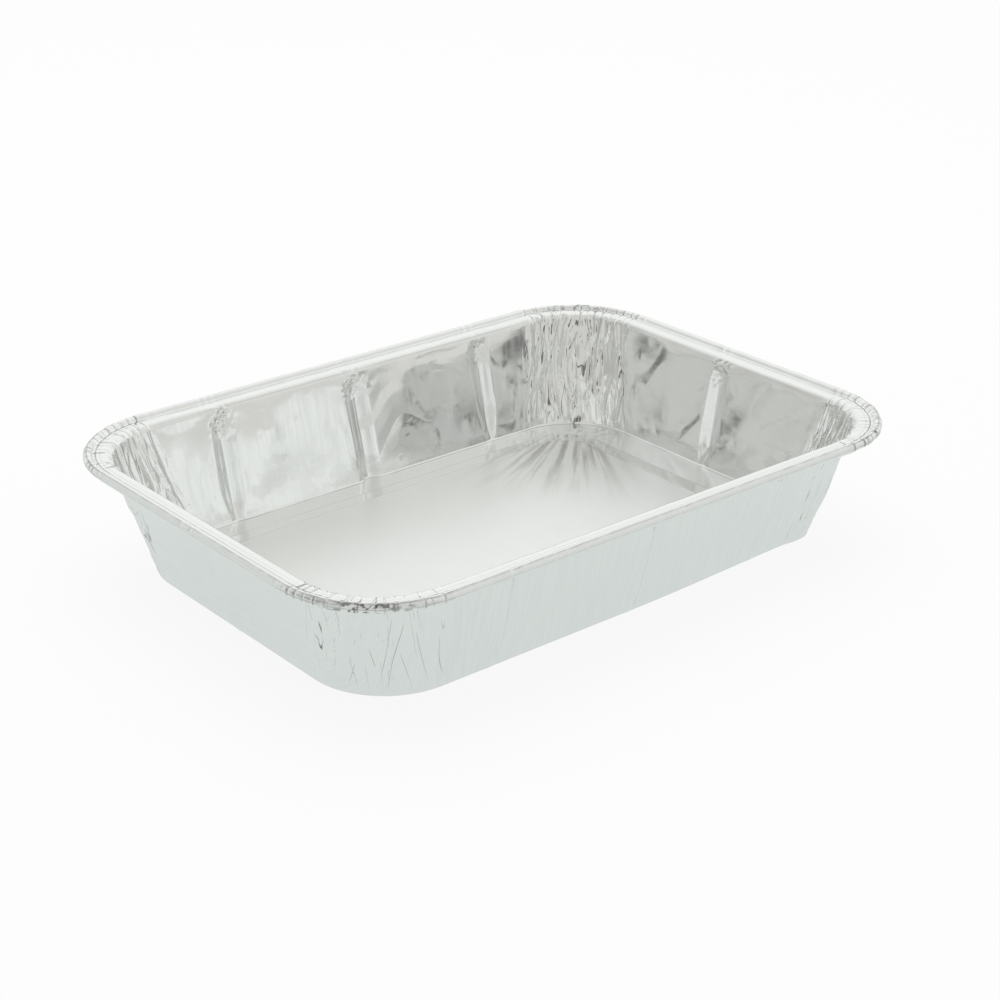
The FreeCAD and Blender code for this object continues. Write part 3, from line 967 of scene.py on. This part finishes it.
def floor_material():
    """A plain white floor that the camera and the foil see near white, with the tray's shadow on it."""
    look = bpy.context.scene.stage_look
    material, wire, shader = new_material("white_floor")
    wire.put(shader.inputs["Base Color"], (*look.floor, 1))
    wire.put(shader.inputs["Roughness"], 0.9)
    wire.put(shader.inputs["Specular IOR Level"], 0.0)
    mottle = wire.node("TexNoise", scale=60.0, detail=2.0).outputs["Fac"]
    wire.put(shader.inputs["Normal"], wire.bump(mottle, MOTTLE_HEIGHT, strength=0.05))
    seen = wire.node("LightPath").outputs
    surface = shader.outputs["BSDF"]
    for ray, share, colour in (
        ("Is Camera Ray", 0.88, (1.0, 1.0, 1.0, 1.0)),
        ("Is Glossy Ray", 0.90, (0.735, 0.775, 0.755, 1.0)),
    ):
        glow = wire.node("Emission", colour, 1.0).outputs["Emission"]
        surface = wire.mixed(wire.times(seen[ray], share), surface, glow)
    wire.put(wire.tree.nodes["Material Output"].inputs["Surface"], surface)
    return material


# The stage

# The camera's place, and the ways that its right, its top and its back point, solved from the photo.
CAMERA_PLACE = (-0.5415, -0.6599, 0.4065)
CAMERA_AXES = ((0.76966, -0.63846, 0.0), (0.26283, 0.31684, 0.91135), (-0.58186, -0.70143, 0.41166))

# Ways from the tray to the parts of the studio that differ, and the light's tints in front and behind.
BEHIND = (0.64, 0.75, 0.15)
LEFT = (-0.90, 0.24, 0.37)
FRONT = (-0.57, -0.70, 0.43)
RIGHT = (0.62, -0.48, 0.60)
FRONT_TINT = (1.0, 0.998, 0.955, 1)
BACK_TINT = (0.988, 1.0, 0.982, 1)

# The lamp above the tray, and half the floor's width.
LAMP_PLACE = (0.2, 0.5, 1.6)
LAMP_SIZE = 1.8
FLOOR_HALF = 4.0


def build_world():
    """Soft light that is brightest behind the tray and to the right, dims towards the front, has a dark
    part to the left and one at the camera, and is white where the camera sees it."""
    look = bpy.context.scene.stage_look
    world = bpy.data.worlds.new("studio_light")
    bpy.context.scene.world = world
    world.use_nodes = True
    world.node_tree.nodes.clear()
    wire = Wiring(world.node_tree)
    way = wire.node("TexCoord").outputs["Generated"]

    def toward(direction, low, high, at_low=0.0, at_high=1.0):
        """A value that changes as the way comes nearer to this direction."""
        dot = wire.node("VectorMath", way, Vector(direction).normalized(), operation="DOT_PRODUCT")
        return wire.ramp(dot.outputs["Value"], low, high, at_low, at_high)

    back = toward(BEHIND, 0.1, 0.9, look.sky * look.dim, look.sky)
    left = toward(LEFT, 0.82, 0.97, 1.0, look.dark)
    front = toward(FRONT, 0.978, 0.993, 1.0, look.dark * 0.35)
    right = toward(RIGHT, 0.70, 0.96, 1.0, 1.14)
    tint = wire.blend(toward(BEHIND, -0.1, 0.7), FRONT_TINT, BACK_TINT)
    strength = wire.times(wire.times(back, right), wire.times(left, front))
    light = wire.node("Background", tint, strength).outputs["Background"]
    white = wire.node("Background", (1, 1, 1, 1), 1.0).outputs["Background"]
    seen = wire.node("LightPath").outputs["Is Camera Ray"]
    wire.node("OutputWorld", wire.mixed(seen, light, white))


def area_lamp(name, place, aim, size, power):
    """A square soft lamp at a place, aimed at a point."""
    lamp = bpy.data.lights.new(name, "AREA")
    lamp.shape = "SQUARE"
    lamp.size = size
    lamp.energy = power
    made = bpy.data.objects.new(name, lamp)
    made.location = place
    made.rotation_euler = (Vector(aim) - Vector(place)).to_track_quat("-Z", "Y").to_euler()
    made.visible_glossy = False
    bpy.context.scene.collection.objects.link(made)


class FOILTRAY_OT_base(Operator):
    """Add the pressed base of the tray"""

    bl_idname = "foiltray.base"
    bl_label = "Pressed Base"
    bl_options = {"REGISTER", "UNDO"}

    def execute(self, context):
        grid = foil_grid(context.scene.tray_sizes)
        closed_piece("pressed_base", grid, 0, grid["foot"], with_middle=True)
        return {"FINISHED"}


class FOILTRAY_OT_walls(Operator):
    """Add the ribbed walls and pleated corners of the tray"""

    bl_idname = "foiltray.walls"
    bl_label = "Pleated Walls"
    bl_options = {"REGISTER", "UNDO"}

    def execute(self, context):
        grid = foil_grid(context.scene.tray_sizes)
        closed_piece("pleated_walls", grid, grid["foot"], grid["top"], with_middle=False)
        return {"FINISHED"}


class FOILTRAY_OT_rim(Operator):
    """Add the flange and the rolled bead of the tray"""

    bl_idname = "foiltray.rim"
    bl_label = "Rolled Rim"
    bl_options = {"REGISTER", "UNDO"}

    def execute(self, context):
        grid = foil_grid(context.scene.tray_sizes)
        closed_piece("rolled_rim", grid, grid["top"], grid["tip"], with_middle=False)
        return {"FINISHED"}


class FOILTRAY_OT_stage(Operator):
    """Add the floor, the light and the camera"""

    bl_idname = "foiltray.stage"
    bl_label = "Stage"
    bl_options = {"REGISTER", "UNDO"}

    def execute(self, context):
        scene = context.scene
        look = scene.stage_look
        mesh = bpy.data.meshes.new("floor")
        corners = [(x * FLOOR_HALF, y * FLOOR_HALF, 0) for x, y in ((-1, -1), (1, -1), (1, 1), (-1, 1))]
        mesh.from_pydata(corners, [], [(0, 1, 2, 3)])
        floor = bpy.data.objects.new("floor", mesh)
        scene.collection.objects.link(floor)
        floor.data.materials.append(floor_material())
        build_world()
        area_lamp("softbox_above", LAMP_PLACE, (0, 0, 0), LAMP_SIZE, look.softbox)
        camera_data = bpy.data.cameras.new("photo_camera")
        camera_data.lens = look.lens
        camera_data.sensor_width = 36.0
        camera_data.clip_start = 0.01
        camera = bpy.data.objects.new("photo_camera", camera_data)
        axes = Matrix([Vector(axis) for axis in CAMERA_AXES]).transposed()
        camera.matrix_world = Matrix.Translation(Vector(CAMERA_PLACE)) @ axes.to_4x4()
        scene.collection.objects.link(camera)
        scene.camera = camera
        scene.view_settings.view_transform = "Standard"
        return {"FINISHED"}


class FOILTRAY_PT_panel(Panel):
    """Pieces of the foil tray"""

    bl_label = "Foil Tray"
    bl_idname = "FOILTRAY_PT_panel"
    bl_space_type = "VIEW_3D"
    bl_region_type = "UI"
    bl_category = "Foil Tray"

    def draw(self, context):
        for operator in OPERATORS:
            self.layout.operator(operator.bl_idname)
        for group in (context.scene.tray_sizes, context.scene.foil_finish, context.scene.stage_look):
            for name in group.__annotations__:
                self.layout.prop(group, name)


OPERATORS = (FOILTRAY_OT_base, FOILTRAY_OT_walls, FOILTRAY_OT_rim, FOILTRAY_OT_stage)
CLASSES = (TraySizes, FoilFinish, StageLook, *OPERATORS, FOILTRAY_PT_panel)


def register():
    for cls in CLASSES:
        bpy.utils.register_class(cls)
    bpy.types.Scene.tray_sizes = PointerProperty(type=TraySizes)
    bpy.types.Scene.foil_finish = PointerProperty(type=FoilFinish)
    bpy.types.Scene.stage_look = PointerProperty(type=StageLook)


def unregister():
    del bpy.types.Scene.stage_look
    del bpy.types.Scene.foil_finish
    del bpy.types.Scene.tray_sizes
    for cls in reversed(CLASSES):
        bpy.utils.unregister_class(cls)


def main():
    register()
    bpy.ops.foiltray.base()
    bpy.ops.foiltray.walls()
    bpy.ops.foiltray.rim()
    bpy.ops.foiltray.stage()


if __name__ == "__main__":
    main()
